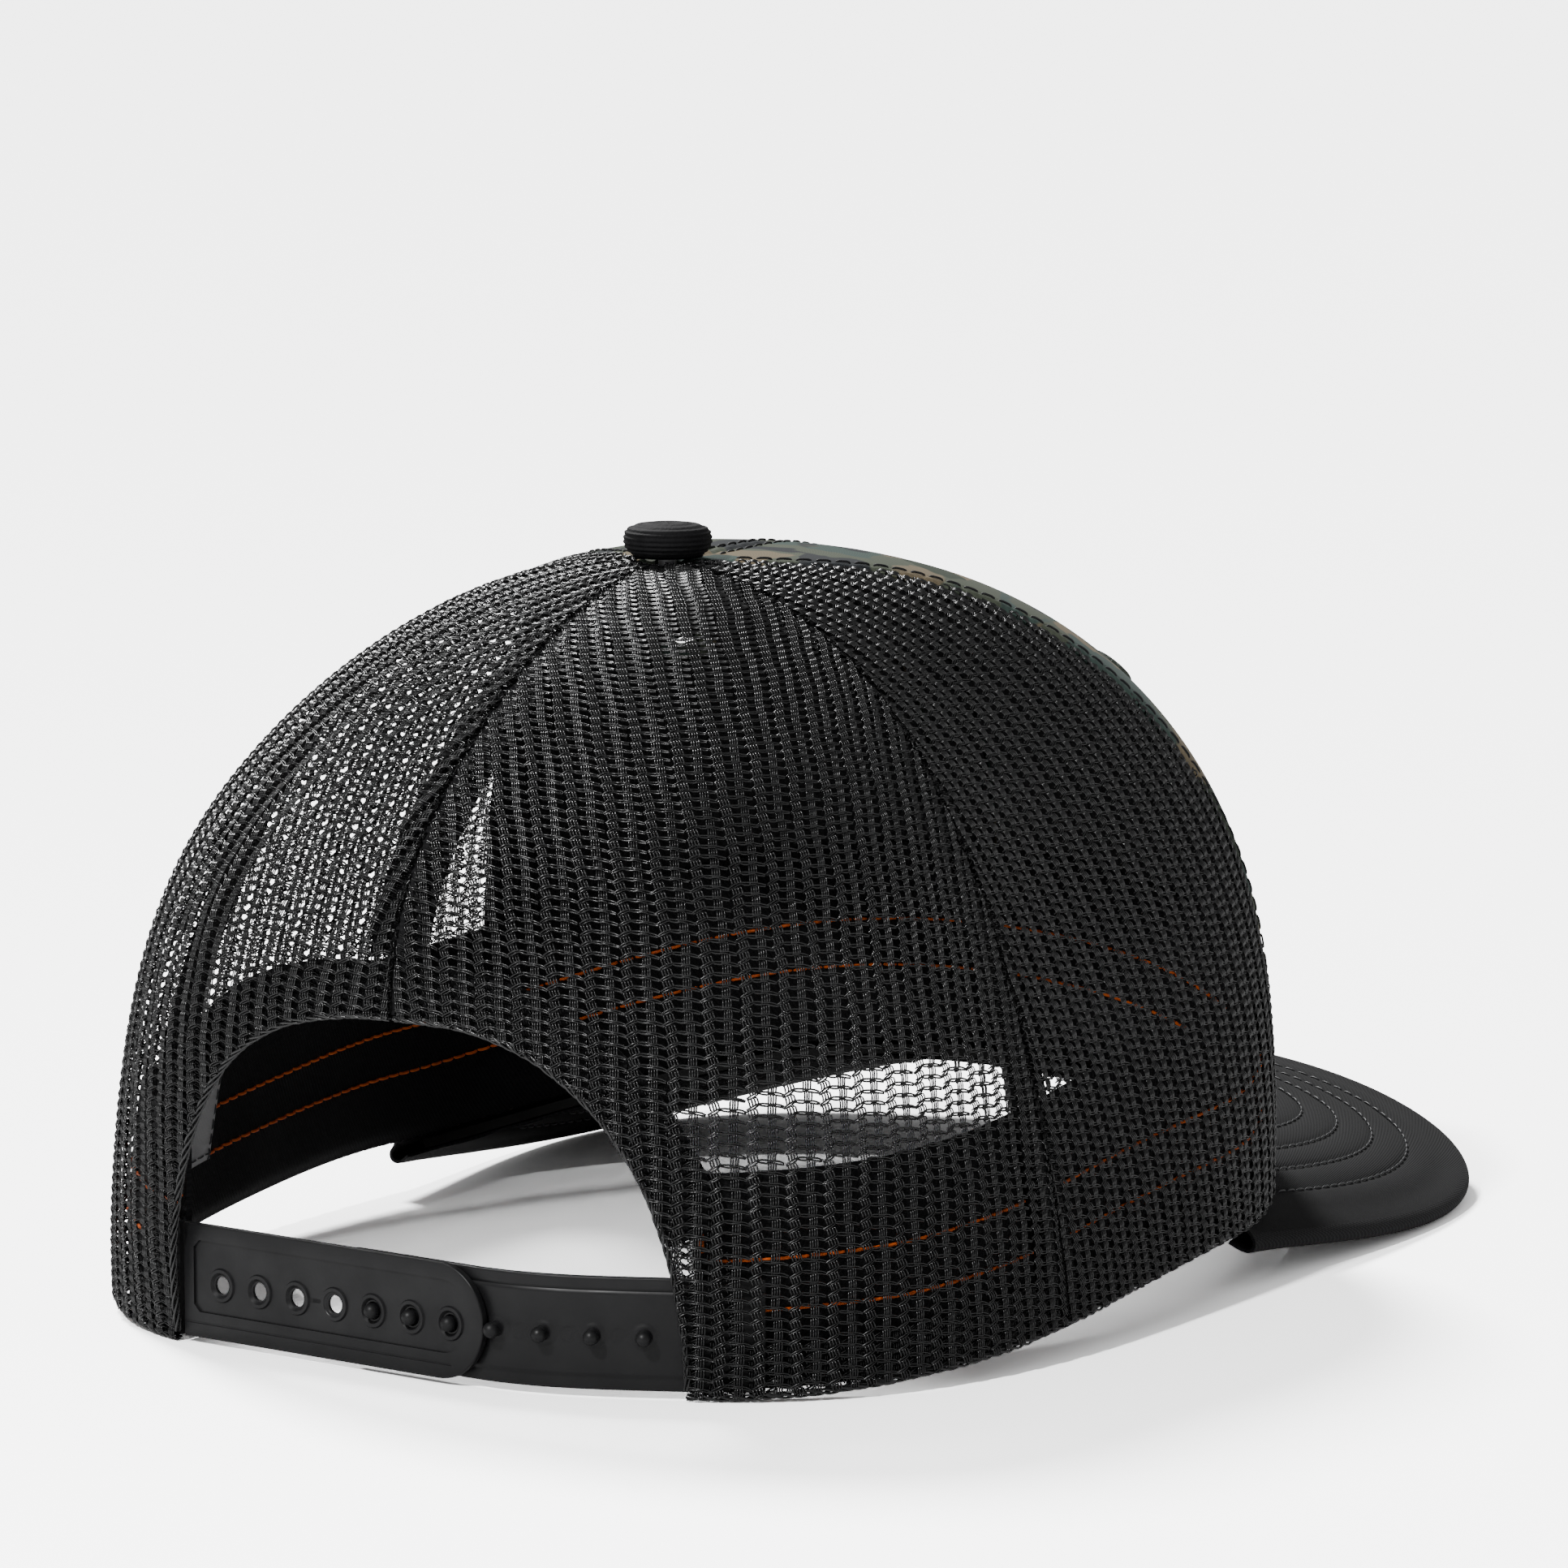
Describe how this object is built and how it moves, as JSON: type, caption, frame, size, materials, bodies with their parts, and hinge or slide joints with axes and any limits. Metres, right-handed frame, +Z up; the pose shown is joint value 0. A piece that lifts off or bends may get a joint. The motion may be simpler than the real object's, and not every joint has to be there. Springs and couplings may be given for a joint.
{
  "type": "trucker mesh cap",
  "caption": "Six-panel trucker cap: printed cloth front, knitted mesh sides and back, curved stitched brim, arched back opening and a snap strap.",
  "frame": {"origin": "centre of the cap's bounding box in plan, at the surface it stands on", "axes": "+Z up with the cap standing on its brim edges and back corners; the brim points to -Y and the snap strap to +Y; the wearer's left is +X"},
  "size_m": [0.1754, 0.2624, 0.1273],
  "materials": {
    "camo_cloth": "twill printed with a woodland camouflage pattern",
    "mesh": "open knitted polyester mesh, slightly glossy",
    "buckram": "stiffened open weave",
    "tape": "woven tape",
    "black_twill": "matt twill",
    "board": "flat sheet",
    "strap_plastic": "satin moulding",
    "label_satin": "satin ribbon",
    "eyelet_thread": "close satin stitch",
    "backing_metal": "plain"
  },
  "bodies": {
    "cap": {"front_panel_left": "camo_cloth", "front_panel_right": "camo_cloth", "side_mesh_left": "mesh", "side_mesh_right": "mesh", "back_mesh_left": "mesh", "back_mesh_right": "mesh", "front_buckram_left": "buckram", "front_buckram_right": "buckram", "front_seam_tape_left": "tape", "front_seam_tape_right": "tape", "back_seam_tape_left": "tape", "back_seam_tape_right": "tape", "center_front_tape": "tape", "center_back_tape": "tape", "back_opening_tape": "tape", "sweatband": "black_twill", "brim_top_cloth": "black_twill", "brim_under_cloth": "black_twill", "crown_button": "black_twill", "brim_board": "board", "snap_strap_left_tab": "strap_plastic", "snap_strap_right": "strap_plastic", "size_label": "label_satin", "eyelet_left": "eyelet_thread", "eyelet_right": "eyelet_thread", "button_backing": "backing_metal"},
    "outer_strap": {"snap_strap_left": "strap_plastic"}
  },
  "joints": [
    {"name": "strap_flex", "type": "hinge", "parent": "cap", "child": "outer_strap", "pos_m": [0.04592, 0.11813, 0.01025], "axis": [0, 0, -1], "range_deg": [0, 30], "stiffness_Nm_per_rad": 0.02}
  ]
}
